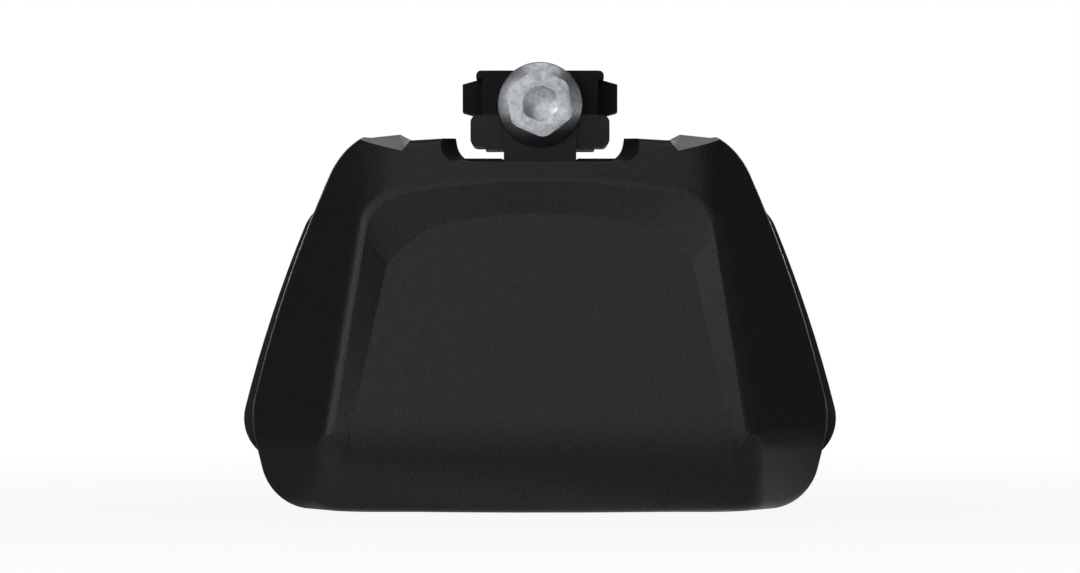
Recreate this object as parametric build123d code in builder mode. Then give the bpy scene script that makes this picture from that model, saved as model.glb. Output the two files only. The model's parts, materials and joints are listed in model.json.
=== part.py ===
"""Roof bar foot: a leg with two moulded covers and a wedge clamp for the bar's underside slot.

Millimetres. X runs across the foot, the front cover faces -Y and Z = 0 is the roof surface.
The origin lies midway between the two base bolts. A "front" value is a distance ahead of it,
measured towards -Y, and a "rear" value is a distance behind it.
"""
import os
from math import cos, hypot, radians, sin, tan

from build123d import *

os.makedirs("parts", exist_ok=True)

# Base: rubber pad, flange and the bolt holes
PAD_THICK = 4.0
PAD_LIP = 1.4
PAD_LIP_GAP = 0.2
PAD_LIP_HEIGHT = 3.0
PAD_EDGE_RADIUS = 2.5
FLANGE_THICK = 6.0
FLANGE_HALF = 46.0
FLANGE_FRONT = 16.0
FLANGE_REAR = 30.0
FLANGE_CORNER = 12.0
BASE_BOLT_HALF = 32.0
BASE_BOLT_HOLE = 8.5
BASE_BOSS = 20.0
BASE_BOSS_HEIGHT = 1.0

# Front cover outline, seen from the front
COVER_BOTTOM = 0.4
COVER_FOOT_HALF = 57.3
COVER_FOOT_Z = 1.2
COVER_BELLY_HALF = 62.05
COVER_BELLY_Z = 20.2
COVER_SHOULDER_HALF = 42.6
COVER_SHOULDER_Z = 76.65
COVER_TOP_HALF = 37.6
COVER_TOP_Z = 79.8
COVER_DIP_HALF = 26.9
COVER_DIP_Z = 79.0
COVER_MIDDLE_Z = 80.6
COVER_SIDE_BOW = 1.75
COVER_FOOT_RADIUS = 11.0
COVER_BELLY_RADIUS = 16.0
COVER_SHOULDER_RADIUS = 17.0
COVER_RIM_FRONT = 4.0
COVER_WALL = 2.6
COVER_EDGE_RADIUS = 2.4
COVER_FLOOR_GAP = 1.0

# Front cover face: a ridge on a leaning plane around a sunken panel
FACE_FRONT = 36.0
FOLD_Z = 16.0
FACE_LEAN = 10.0
FOOT_RUN = 18.0
RIDGE_FOLD_HALF = 45.1
RIDGE_SIDE_LEAN = 8.9
RIDGE_CORNER_UP = 52.2
RIDGE_TOP_UP = 56.4
RIDGE_CORNER_RADIUS = 12.0
RIDGE_LAND = 1.4
RIDGE_RADIUS = 4.0
SIDE_FLARE = 0.645
CORNER_FLARE = 1.6
TOP_FLARE = 1.8
RIM_CORNER_RADIUS = 26.0
PANEL_DROP = 0.1
PANEL_LEAN = 12.3
PANEL_FOLD_HALF = 40.2
PANEL_SHOULDER_HALF = 32.2
PANEL_SHOULDER_UP = 37.5
PANEL_CROWN_HALF = 22.4
PANEL_CROWN_UP = 45.8
PANEL_TOP_UP = 48.6
PANEL_CORNER_BOW = 0.7
RECESS_RUN = 2.0
CHIN_LEAN = 17.0
CHIN_RADIUS = 12.0
FOLD_RADIUS = 25.0
SKIRT_LEAN = 9.5
SKIRT_RADIUS = 14.0
CHEEK_RADIUS = 8.0
FACE_EASE = 0.03

# Notch for the bar and facets in the front cover's shoulders
NOTCH_FLOOR_Z = 74.4
NOTCH_FRONT_HALF = 21.3
NOTCH_REAR_HALF = 17.0
NOTCH_RADIUS = 4.3
NOTCH_WALL_LEAN = 10.0
NOTCH_FRONT = 24.5
NOTCH_REAR = 13.0
NOTCH_MARGIN = 2.5
FACET_FRONT = 22.8
FACET_LOW_HALF = 29.2
FACET_LOW_Z = 76.6
FACET_OUTER_HALF = 44.1
FACET_OUTER_Z = 79.0
FACET_PEAK_HALF = 30.0
FACET_PEAK_Z = 80.6
FACET_SINK = 1.0

# Rear cover outline, seen from the front
COVER_GAP = 0.8
REAR_DEPTH = 32.0
REAR_LIFT = 0.2
REAR_FOOT_HALF = 66.0
REAR_TOP_HALF = 47.9
REAR_TOP_Z = 67.1
REAR_SIDE_BOW = 1.6
REAR_FOOT_RADIUS = 9.5
REAR_TOP_RADIUS = 10.0
REAR_EDGE_RADIUS = 8.0
REAR_WALL = 2.5
REAR_CUT_GAP = 0.6

# Leg: upright web, neck and top land
WEB_PLACE = 10.0
WEB_THICK = 4.0
WEB_GAP = 0.8
WEB_FOOT_HALF = 44.0
NECK_HALF = 17.0
NECK_FRONT = 7.0
NECK_REAR = 26.0
NECK_RADIUS = 3.0
LAND_HALF = 20.0
LAND_FRONT = 8.0
LAND_REAR = 28.0
LAND_TOP = 72.8
LAND_THICK = 4.3
POCKET_DEPTH = 8.0
POCKET_WALL = 4.0
GUSSET_THICK = 4.0
GUSSET_HALF = 33.0
GUSSET_HEIGHT = 34.0
GUSSET_INSET = 2.0

# Pegs of the front cover and their grommets in the leg's pillars
PEG_UPPER_HALF = 27.0
PEG_UPPER_Z = 55.0
PEG_LOWER_HALF = 50.5
PEG_LOWER_Z = 22.6
PEG_RADIUS = 2.85
PEG_REACH = 5.0
PEG_BOSS_RADIUS = 4.2
PEG_CLEARANCE = 0.05
PILLAR_FRONT = 2.0
PILLAR_RADIUS = 6.5
GROMMET_RADIUS = 4.5
GROMMET_LENGTH = 6.0
GROMMET_FLANGE_RADIUS = 6.0
GROMMET_FLANGE = 1.5
GROMMET_GAP = 0.3

# Screws of the rear cover
REAR_SCREW_RADIUS = 2.0
REAR_SCREW_GAP = 0.05
REAR_SCREW_GRIP = 9.0
REAR_SCREW_HEAD_RADIUS = 4.0
REAR_SCREW_HEAD = 2.6
REAR_SCREW_UPPER_HALF = 40.0
REAR_SCREW_UPPER_Z = 46.0
REAR_SCREW_LOWER_HALF = 24.0
REAR_SCREW_LOWER_Z = 28.0
REAR_POST_RADIUS = 4.5

# Bar bracket: stem and T-shaped head
STEM_HALF = 7.75
STEM_FRONT = 9.0
STEM_THICK = 10.0
STEM_BOTTOM = 36.0
STEM_GAP = 0.1
STEM_CROWN = 0.8
HEAD_LIFT = 5.2
HEAD_HEIGHT = 6.7
HEAD_STEP = 0.6
HEAD_STEP_HALF = 11.7
HEAD_HALF = 14.9
HEAD_FRONT = 7.0
HEAD_RADIUS = 1.5
SLOT_HEIGHT = 7.9
CAP_THICK = 1.7
CAP_HALF = 13.7
CAP_FRONT = 6.0
CAP_RADIUS = 1.1
NAVE_HALF = 12.4

# Bracket screws
BRACKET_SCREW_RADIUS = 3.0
BRACKET_SCREW_GAP = 0.05
BRACKET_SCREW_GRIP = 11.0
BRACKET_SCREW_HEAD_RADIUS = 5.0
BRACKET_SCREW_HEAD = 6.0
BRACKET_SCREW_SOCKET = 5.0
BRACKET_SCREW_SOCKET_DEPTH = 3.0
BRACKET_SCREW_UPPER_Z = 61.0
BRACKET_SCREW_LOWER_Z = 45.0
WASHER_RADIUS = 6.0
WASHER_THICK = 1.6
WASHER_GAP = 0.2

# Clamp bolt: M8 hexagon flange bolt
BOLT_RISE = 2.2
BOLT_RADIUS = 4.0
BOLT_HOLE_GAP = 0.2
BOLT_THREAD_GAP = 0.05
BOLT_HEAD = 8.1
BOLT_HEX = 13.0
BOLT_HEX_TURN = 37.0
BOLT_FLANGE_RADIUS = 9.1
BOLT_FLANGE_RIM = 1.2
BOLT_FLANGE_HEIGHT = 2.8
BOLT_CHAMFER = 0.8
BOLT_DISH_HEX = 6.8
BOLT_DISH_DEPTH = 1.0
BOLT_END = 1.1
CLIP_THICK = 1.0
CLIP_RADIUS = 5.5
CLIP_GROOVE_RADIUS = 3.3
CLIP_MOUTH = 3.0
CLIP_GAP = 0.4

# Wedge nut and jaws
WEDGE_PLACE = 3.0
WEDGE_LENGTH = 13.0
WEDGE_FRONT_HALF = 5.6
WEDGE_SLOPE = 0.4
WEDGE_DROP = 4.1
WEDGE_FORWARD = 2.0
WEDGE_BACK = 4.5
WEDGE_GAP = 0.3
SLIDE_GAP = 0.1
JAW_PLACE = 2.5
JAW_LENGTH = 14.5
JAW_TIP_HALF = 16.7
JAW_TIP_HEIGHT = 5.9
JAW_LIP = 3.2
JAW_FACE_GAP = 0.04
RAIL_RISE = 3.9
RAIL_NECK = 2.4
RAIL_WIDTH = 3.6
RAIL_HEIGHT = 1.2
RAIL_END = 1.0
RAIL_GAP = 0.08

# Rubber bar pad on the leg's land
BAR_PAD_THICK = 2.6
BAR_PAD_INSET = 0.5
BAR_PAD_GAP = 0.3

# Limits that pick faces and edges
PICK_MARGIN = 0.05
PICK_FLAT = 0.001
PICK_ALONG = 0.95

# Worked-out places
FLANGE_TOP = PAD_THICK + FLANGE_THICK
PAD_RIM = PAD_LIP_GAP + PAD_LIP
REAR_BOTTOM = FLANGE_TOP + REAR_LIFT
REAR_RIM_FRONT = COVER_RIM_FRONT - COVER_GAP
WEB_REAR = WEB_PLACE + WEB_THICK
STEM_REAR = STEM_THICK - STEM_FRONT
HEAD_BOTTOM = LAND_TOP + HEAD_LIFT
SLOT_FLOOR = HEAD_BOTTOM + HEAD_HEIGHT
SLOT_TOP = SLOT_FLOOR + SLOT_HEIGHT
STEM_TOP = SLOT_TOP + STEM_CROWN
BOLT_Z = SLOT_FLOOR + BOLT_RISE
RAIL_Z = SLOT_FLOOR + RAIL_RISE
WEDGE_FLOOR = SLOT_FLOOR - WEDGE_DROP
WEDGE_REAR = WEDGE_PLACE + WEDGE_LENGTH
WEDGE_REAR_HALF = WEDGE_FRONT_HALF + WEDGE_LENGTH * WEDGE_SLOPE
HEAD_REAR = WEDGE_REAR + WEDGE_BACK + WEDGE_GAP
POCKET_HALF = WEDGE_REAR_HALF + WEDGE_GAP
JAW_REAR = JAW_PLACE + JAW_LENGTH
CLIP_PLACE = WEDGE_REAR + WEDGE_BACK + CLIP_GAP
GROMMET_FACE = PILLAR_FRONT + GROMMET_FLANGE
GROMMET_BORE = PEG_RADIUS + PEG_CLEARANCE
PEG_SHOULDER = max(GROMMET_FACE + GROMMET_GAP, COVER_RIM_FRONT)
FLOOR_HALF = FLANGE_HALF + PAD_RIM + COVER_FLOOR_GAP
FAR = 200.0
PEGS = [
    ("upper", PEG_UPPER_HALF, PEG_UPPER_Z),
    ("lower", PEG_LOWER_HALF, PEG_LOWER_Z),
]
REAR_SCREWS = [
    ("upper", REAR_SCREW_UPPER_HALF, REAR_SCREW_UPPER_Z),
    ("lower", REAR_SCREW_LOWER_HALF, REAR_SCREW_LOWER_Z),
]
BRACKET_SCREWS = [
    ("upper", BRACKET_SCREW_UPPER_Z),
    ("lower", BRACKET_SCREW_LOWER_Z),
]
SIDES = [("left", -1), ("right", 1)]
STANDING = (Align.CENTER, Align.MIN)


def front_plane(front):
    """Upright plane seen from the front: local x is X, local y is Z."""
    return Plane.XZ.offset(front)


def leaning_plane(front, height, lean):
    """Plane that faces the front and leans back by an angle."""
    facing = (0, -cos(radians(lean)), sin(radians(lean)))
    return Plane(origin=(0, -front, height), x_dir=(1, 0, 0), z_dir=facing)


def save(piece, name):
    """Label a finished piece and write its STEP file."""
    piece.part.label = name
    export_step(piece.part, f"parts/{name}.step")


def round_corners(face, height, radius):
    """Round the corners of a sketch that lie at one height."""
    corners = face.vertices().filter_by_position(Axis.Y, height - PICK_MARGIN, height + PICK_MARGIN)
    fillet(corners, radius)


def cover_face(plane, inset=0.0):
    """Front cover's outline, or one that lies inside it."""
    foot = (COVER_FOOT_HALF, COVER_FOOT_Z)
    belly = (COVER_BELLY_HALF, COVER_BELLY_Z)
    shoulder = (COVER_SHOULDER_HALF, COVER_SHOULDER_Z)
    top = (COVER_TOP_HALF, COVER_TOP_Z)
    dip = (COVER_DIP_HALF, COVER_DIP_Z)
    with BuildSketch(plane) as face:
        with BuildLine():
            Line(foot, belly)
            SagittaArc(belly, shoulder, -COVER_SIDE_BOW)
            Polyline(shoulder, top, dip, (0, COVER_MIDDLE_Z))
            mirror(about=Plane.YZ)
            ThreePointArc((-foot[0], foot[1]), (0, COVER_BOTTOM), foot)
        make_face()
        round_corners(face, COVER_SHOULDER_Z, COVER_SHOULDER_RADIUS)
        round_corners(face, COVER_BELLY_Z, COVER_BELLY_RADIUS)
        round_corners(face, COVER_FOOT_Z, COVER_FOOT_RADIUS)
        if inset:
            offset(amount=-inset, mode=Mode.REPLACE)
    return face.sketch


def rear_face(plane, inset=0.0):
    """Rear cover's outline, or one that lies inside it."""
    foot = (REAR_FOOT_HALF, REAR_BOTTOM)
    top = (REAR_TOP_HALF, REAR_TOP_Z)
    with BuildSketch(plane) as face:
        with BuildLine():
            Line((0, REAR_BOTTOM), foot)
            SagittaArc(foot, top, -REAR_SIDE_BOW)
            Line(top, (0, REAR_TOP_Z))
            mirror(about=Plane.YZ)
        make_face()
        round_corners(face, REAR_TOP_Z, REAR_TOP_RADIUS)
        round_corners(face, REAR_BOTTOM, REAR_FOOT_RADIUS)
        if inset:
            offset(amount=-inset, mode=Mode.REPLACE)
    return face.sketch


def round_arch(plane, foot, corner, top, radius):
    """Tombstone outline: leaning sides, an arched top and round corners."""
    with BuildSketch(plane) as face:
        with BuildLine():
            Line(foot, corner)
            mirror(about=Plane.YZ)
            ThreePointArc(corner, (0, top), (-corner[0], corner[1]))
            Line((-foot[0], foot[1]), foot)
        make_face()
        round_corners(face, corner[1], radius)
    return face.sketch


def cut_arch(plane, foot, shoulder, crown, top, bow):
    """Tombstone outline whose corners are cut off by slightly bowed diagonals."""
    with BuildSketch(plane) as face:
        with BuildLine():
            Line(foot, shoulder)
            SagittaArc(shoulder, crown, -bow)
            mirror(about=Plane.YZ)
            ThreePointArc(crown, (0, top), (-crown[0], crown[1]))
            Line((-foot[0], foot[1]), foot)
        make_face()
    return face.sketch


def face_front(up):
    """How far the leaning face lies ahead, at a distance up it from the fold."""
    return FACE_FRONT - up * sin(radians(FACE_LEAN))


def face_height(up):
    """Height of a place on the leaning face."""
    return FOLD_Z + up * cos(radians(FACE_LEAN))


def ridge_half(up):
    """Half width of the ridge at a distance up the leaning face."""
    return RIDGE_FOLD_HALF - up * tan(radians(RIDGE_SIDE_LEAN))


def side_half(front, height):
    """Half width of the side band's plane, which runs back and out from the ridge."""
    up = (height - FOLD_Z) / cos(radians(FACE_LEAN))
    return ridge_half(up) + SIDE_FLARE * (face_front(up) - front)


def panel_front(height):
    """How far the sunken panel lies ahead at a height."""
    return FACE_FRONT - PANEL_DROP - (height - FOLD_Z) * tan(radians(PANEL_LEAN))


def ridge_face(back, inset=0.0, run=FOOT_RUN):
    """Outline of the ridge, moved back from the face or drawn inside it, down to a run below the fold."""
    corner_up = RIDGE_CORNER_UP - inset
    return round_arch(
        leaning_plane(FACE_FRONT - back, FOLD_Z, FACE_LEAN),
        (ridge_half(-run) - inset, -run),
        (ridge_half(corner_up) - inset, corner_up),
        RIDGE_TOP_UP - inset,
        RIDGE_CORNER_RADIUS - inset,
    )


def rim_face(back):
    """Outline that the side and top bands reach behind the ridge, at the rim's plane."""
    foot_z = face_height(-FOOT_RUN)
    corner_run = face_front(RIDGE_CORNER_UP) - COVER_RIM_FRONT
    corner_z = face_height(RIDGE_CORNER_UP) + CORNER_FLARE * corner_run
    top_run = face_front(RIDGE_TOP_UP) - COVER_RIM_FRONT
    return round_arch(
        front_plane(COVER_RIM_FRONT - back),
        (side_half(COVER_RIM_FRONT, foot_z), foot_z),
        (side_half(COVER_RIM_FRONT, corner_z), corner_z),
        face_height(RIDGE_TOP_UP) + TOP_FLARE * top_run,
        RIM_CORNER_RADIUS,
    )


def panel_face():
    """Outline of the sunken panel."""
    slope = (PANEL_FOLD_HALF - PANEL_SHOULDER_HALF) / PANEL_SHOULDER_UP
    return cut_arch(
        leaning_plane(FACE_FRONT - PANEL_DROP, FOLD_Z, PANEL_LEAN),
        (PANEL_FOLD_HALF + slope * RECESS_RUN, -RECESS_RUN),
        (PANEL_SHOULDER_HALF, PANEL_SHOULDER_UP),
        (PANEL_CROWN_HALF, PANEL_CROWN_UP),
        PANEL_TOP_UP,
        PANEL_CORNER_BOW,
    )


def chin_face():
    """Side view of what lies behind the leaning face and the chin, rounded at the fold."""
    chin = radians(CHIN_LEAN)
    face_lean = radians(FACE_LEAN)
    fold = (-FACE_FRONT, FOLD_Z)
    foot = (fold[0] + FACE_FRONT * sin(chin), FOLD_Z - FACE_FRONT * cos(chin))
    head = (fold[0] + FAR * sin(face_lean), FOLD_Z + FAR * cos(face_lean))
    with BuildSketch(Plane.YZ) as face:
        with BuildLine():
            Polyline(foot, fold, head, (FAR, head[1]), (FAR, foot[1]), close=True)
        make_face()
        round_corners(face, FOLD_Z, CHIN_RADIUS)
    return face.sketch


def fold_face():
    """Side section of what is taken off the panel's lower edge, so that it rolls softly into the chin."""
    panel_lean = radians(PANEL_LEAN)
    chin_lean = radians(CHIN_LEAN)
    sunk = (FACE_FRONT - panel_front(FOLD_Z)) / (tan(panel_lean) + tan(chin_lean))
    reach = FOLD_RADIUS * tan((panel_lean + chin_lean) / 2)
    fold = Vector(-panel_front(FOLD_Z - sunk) - FACE_EASE, FOLD_Z - sunk)
    upper = fold + reach * Vector(sin(panel_lean), cos(panel_lean))
    lower = fold + reach * Vector(sin(chin_lean), -cos(chin_lean))
    clear = Vector(-FACE_FRONT, 0)
    with BuildSketch(Plane.YZ) as face:
        with BuildLine():
            TangentArc(lower, upper, tangent=fold - lower)
            Polyline(upper, upper + clear, lower + clear, lower)
        make_face()
    return face.sketch


def skirt_face(sign, inset=0.0):
    """Section of the side band and the skirt below it, which fold at the height of the chin."""
    outward = Vector(sign, -SIDE_FLARE, 0)
    lean = radians(FACE_LEAN)
    side_rise = (tan(radians(RIDGE_SIDE_LEAN)) + SIDE_FLARE * sin(lean)) / cos(lean)
    fold = (FACE_EASE - inset, 0)
    foot = (fold[0] - FAR * tan(radians(SKIRT_LEAN)), -FAR)
    head = (fold[0] - FAR * side_rise / outward.length, FAR)
    corner = (sign * RIDGE_FOLD_HALF, -FACE_FRONT, FOLD_Z)
    with BuildSketch(Plane(origin=corner, x_dir=outward, z_dir=outward.cross(Vector(0, 0, 1)))) as face:
        with BuildLine():
            Polyline(foot, fold, head, (-2 * FAR, FAR), (-2 * FAR, -FAR), close=True)
        make_face()
        round_corners(face, 0, SKIRT_RADIUS)
    return face.sketch


def cheek_face(sign):
    """Section across the soft corner between the chin and the skirt."""
    chin = Vector(0, -cos(radians(CHIN_LEAN)), -sin(radians(CHIN_LEAN)))
    skirt = Vector(sign, -SIDE_FLARE, -tan(radians(SKIRT_LEAN)) * hypot(1, SIDE_FLARE))
    turn = radians(chin.get_angle(skirt))
    corner = (FACE_EASE, FACE_EASE * tan(turn / 2))
    along_chin = (FACE_EASE, -FAR)
    along_skirt = (corner[0] - FAR * sin(turn), corner[1] + FAR * cos(turn))
    fold = (sign * RIDGE_FOLD_HALF, -FACE_FRONT, FOLD_Z)
    with BuildSketch(Plane(origin=fold, x_dir=chin, z_dir=chin.cross(skirt))) as face:
        with BuildLine():
            Polyline(along_chin, corner, along_skirt)
            Polyline(along_skirt, (-2 * FAR, along_skirt[1]), (-2 * FAR, -FAR), along_chin)
        make_face()
        fillet(face.vertices().sort_by_distance((0, 0, 0))[0], CHEEK_RADIUS)
    return face.sketch


def cavity_side_face():
    """Side view of the front cover's hollow, one wall behind the panel and the chin."""
    chin = radians(CHIN_LEAN)
    panel = radians(PANEL_LEAN)
    fold = (PANEL_DROP - FACE_FRONT + COVER_WALL / cos(panel), FOLD_Z)
    foot = (fold[0] + FACE_FRONT * sin(chin), FOLD_Z - FACE_FRONT * cos(chin))
    head = (fold[0] + FAR * sin(panel), FOLD_Z + FAR * cos(panel))
    with BuildSketch(Plane.YZ) as face:
        with BuildLine():
            Polyline(foot, fold, head, (FAR, head[1]), (FAR, foot[1]), close=True)
        make_face()
    return face.sketch


def notch_face(front):
    """U-shaped notch with leaning walls, wider towards the front."""
    flare = (NOTCH_FRONT_HALF - NOTCH_REAR_HALF) / (NOTCH_FRONT - NOTCH_REAR)
    half = NOTCH_REAR_HALF + flare * (front - NOTCH_REAR)
    top = NOTCH_FLOOR_Z + 2 * NOTCH_FRONT_HALF
    top_half = half + (top - NOTCH_FLOOR_Z) * tan(radians(NOTCH_WALL_LEAN))
    floor = [(-half, NOTCH_FLOOR_Z), (half, NOTCH_FLOOR_Z)]
    with BuildSketch(front_plane(front)) as face:
        with BuildLine():
            Polyline((-top_half, top), *floor, (top_half, top), close=True)
        make_face()
        round_corners(face, NOTCH_FLOOR_Z, NOTCH_RADIUS)
    return face.sketch


def facet_face(sign):
    """V-shaped start of a shoulder facet, drawn past the roof so that it cuts clear."""
    corners = [
        (FACET_LOW_HALF, FACET_LOW_Z),
        (2 * COVER_DIP_HALF - FACET_LOW_HALF, 2 * COVER_DIP_Z - FACET_LOW_Z),
        (2 * FACET_OUTER_HALF - FACET_LOW_HALF, 2 * FACET_OUTER_Z - FACET_LOW_Z),
    ]
    with BuildSketch(front_plane(FACET_FRONT)) as face:
        with BuildLine():
            Polyline(*[(sign * x, z) for x, z in corners], close=True)
        make_face()
    return face.sketch


def peak_face(sign):
    """Rear end of a shoulder facet, which rises above the roof at the rim and is sunk into it."""
    corners = [
        (COVER_DIP_HALF, COVER_DIP_Z - FACET_SINK),
        (COVER_DIP_HALF, COVER_DIP_Z),
        (FACET_PEAK_HALF, FACET_PEAK_Z),
        (COVER_TOP_HALF, COVER_TOP_Z),
        (COVER_TOP_HALF, COVER_TOP_Z - FACET_SINK),
    ]
    with BuildSketch(front_plane(COVER_RIM_FRONT)) as face:
        with BuildLine():
            Polyline(*[(sign * x, z) for x, z in corners], close=True)
        make_face()
    return face.sketch


def round_hole(plane, radius, places, depth):
    """Cut round holes into the current part, from a plane against its facing."""
    with BuildSketch(plane) as circles:
        with Locations(*places):
            Circle(radius)
    extrude(circles.sketch, amount=-depth, mode=Mode.SUBTRACT)


def round_post(plane, radius, places, length):
    """Add round posts to the current part, from a plane against its facing."""
    with BuildSketch(plane) as circles:
        with Locations(*places):
            Circle(radius)
    extrude(circles.sketch, amount=-length)


def pair(half, height):
    """Mirrored pair of places in the front view."""
    return [(-half, height), (half, height)]


# Base pad: rubber sheet with a lip around the flange
with BuildPart() as base_pad:
    with BuildSketch():
        with Locations((0, (FLANGE_REAR - FLANGE_FRONT) / 2)):
            RectangleRounded(
                2 * (FLANGE_HALF + PAD_RIM),
                FLANGE_FRONT + FLANGE_REAR + 2 * PAD_RIM,
                FLANGE_CORNER + PAD_RIM,
            )
    extrude(amount=PAD_THICK + PAD_LIP_HEIGHT)
    fillet(base_pad.faces().sort_by(Axis.Z)[0].edges(), PAD_EDGE_RADIUS)
    with BuildSketch(Plane.XY.offset(PAD_THICK)):
        with Locations((0, (FLANGE_REAR - FLANGE_FRONT) / 2)):
            RectangleRounded(
                2 * (FLANGE_HALF + PAD_LIP_GAP),
                FLANGE_FRONT + FLANGE_REAR + 2 * PAD_LIP_GAP,
                FLANGE_CORNER + PAD_LIP_GAP,
            )
    extrude(amount=PAD_LIP_HEIGHT, mode=Mode.SUBTRACT)
    with Locations((-BASE_BOLT_HALF, 0, PAD_THICK), (BASE_BOLT_HALF, 0, PAD_THICK)):
        Hole(BASE_BOLT_HOLE / 2)
save(base_pad, "base_pad")

# Leg frame: cast base flange, upright web, neck with a stem channel, pillars and gussets
with BuildPart() as leg_frame:
    with BuildSketch(Plane.XY.offset(PAD_THICK)):
        with Locations((0, (FLANGE_REAR - FLANGE_FRONT) / 2)):
            RectangleRounded(2 * FLANGE_HALF, FLANGE_FRONT + FLANGE_REAR, FLANGE_CORNER)
    extrude(amount=FLANGE_THICK)
    with BuildSketch(Plane.XY.offset(FLANGE_TOP)):
        with Locations((-BASE_BOLT_HALF, 0), (BASE_BOLT_HALF, 0)):
            Circle(BASE_BOSS / 2)
    extrude(amount=BASE_BOSS_HEIGHT)
    extrude(rear_face(front_plane(-WEB_PLACE), REAR_WALL + WEB_GAP), amount=-WEB_THICK)
    with BuildSketch(front_plane(-WEB_PLACE)):
        with Locations((0, PAD_THICK)):
            Rectangle(2 * WEB_FOOT_HALF, FLANGE_THICK + 2 * REAR_FOOT_RADIUS, align=STANDING)
    extrude(amount=-WEB_THICK)
    with BuildSketch(Plane.XY.offset(PAD_THICK)):
        with Locations((0, (NECK_REAR - NECK_FRONT) / 2)):
            RectangleRounded(2 * NECK_HALF, NECK_FRONT + NECK_REAR, NECK_RADIUS)
    extrude(amount=LAND_TOP - PAD_THICK)
    with BuildSketch(Plane.XY.offset(LAND_TOP - LAND_THICK)):
        with Locations((0, (LAND_REAR - LAND_FRONT) / 2)):
            RectangleRounded(2 * LAND_HALF, LAND_FRONT + LAND_REAR, NECK_RADIUS)
    extrude(amount=LAND_THICK)
    for level, half, height in PEGS:
        round_post(front_plane(PILLAR_FRONT), PILLAR_RADIUS, pair(half, height), PILLAR_FRONT + WEB_REAR)
    # Gussets between the web and the flange's rear
    for side in (-1, 1):
        with BuildSketch(Plane.YZ.offset(side * GUSSET_HALF)):
            with BuildLine():
                Polyline(
                    (WEB_PLACE, PAD_THICK),
                    (FLANGE_REAR - GUSSET_INSET, PAD_THICK),
                    (FLANGE_REAR - GUSSET_INSET, FLANGE_TOP),
                    (WEB_REAR, FLANGE_TOP + GUSSET_HEIGHT),
                    (WEB_PLACE, FLANGE_TOP + GUSSET_HEIGHT),
                    close=True,
                )
            make_face()
        extrude(amount=GUSSET_THICK / 2, both=True)
    # Channel that the bracket's stem sits in
    with BuildSketch(front_plane(LAND_FRONT + FLANGE_FRONT)):
        with Locations((0, STEM_BOTTOM - STEM_GAP)):
            Rectangle(2 * (STEM_HALF + STEM_GAP), LAND_TOP, align=STANDING)
    extrude(amount=-(LAND_FRONT + FLANGE_FRONT + STEM_REAR), mode=Mode.SUBTRACT)
    # Cored pockets in the neck's rear
    pocket_width = NECK_HALF - 1.5 * POCKET_WALL
    pocket_height = LAND_TOP - LAND_THICK - FLANGE_TOP - 2 * POCKET_WALL
    with BuildSketch(front_plane(-NECK_REAR)):
        with Locations(*pair((POCKET_WALL + pocket_width) / 2, FLANGE_TOP + POCKET_WALL)):
            Rectangle(pocket_width, pocket_height, align=STANDING)
    extrude(amount=POCKET_DEPTH, mode=Mode.SUBTRACT)
    for level, height in BRACKET_SCREWS:
        hole_depth = BRACKET_SCREW_GRIP + WASHER_THICK
        round_hole(front_plane(-STEM_REAR), BRACKET_SCREW_RADIUS + BRACKET_SCREW_GAP, [(0, height)], hole_depth)
    for level, half, height in PEGS:
        hole_depth = max(GROMMET_LENGTH, PEG_REACH) + GROMMET_FLANGE
        round_hole(front_plane(PILLAR_FRONT), GROMMET_RADIUS, pair(half, height), hole_depth)
    for level, half, height in REAR_SCREWS:
        round_hole(front_plane(-WEB_PLACE), REAR_SCREW_RADIUS + REAR_SCREW_GAP, pair(half, height), WEB_THICK)
    with Locations((-BASE_BOLT_HALF, 0, FLANGE_TOP), (BASE_BOLT_HALF, 0, FLANGE_TOP)):
        Hole(BASE_BOLT_HOLE / 2)
save(leg_frame, "leg_frame")

# Bar pad: rubber sheet on the land, open in front for the stem
with BuildPart() as bar_pad:
    with BuildSketch(Plane.XY.offset(LAND_TOP)):
        with Locations((0, (LAND_REAR - LAND_FRONT) / 2)):
            RectangleRounded(
                2 * (LAND_HALF - BAR_PAD_INSET),
                LAND_FRONT + LAND_REAR - 2 * BAR_PAD_INSET,
                NECK_RADIUS,
            )
        with Locations((0, STEM_REAR + BAR_PAD_GAP)):
            Rectangle(
                2 * (STEM_HALF + BAR_PAD_GAP),
                STEM_THICK + LAND_FRONT,
                align=(Align.CENTER, Align.MAX),
                mode=Mode.SUBTRACT,
            )
    extrude(amount=BAR_PAD_THICK)
save(bar_pad, "bar_pad")

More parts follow.
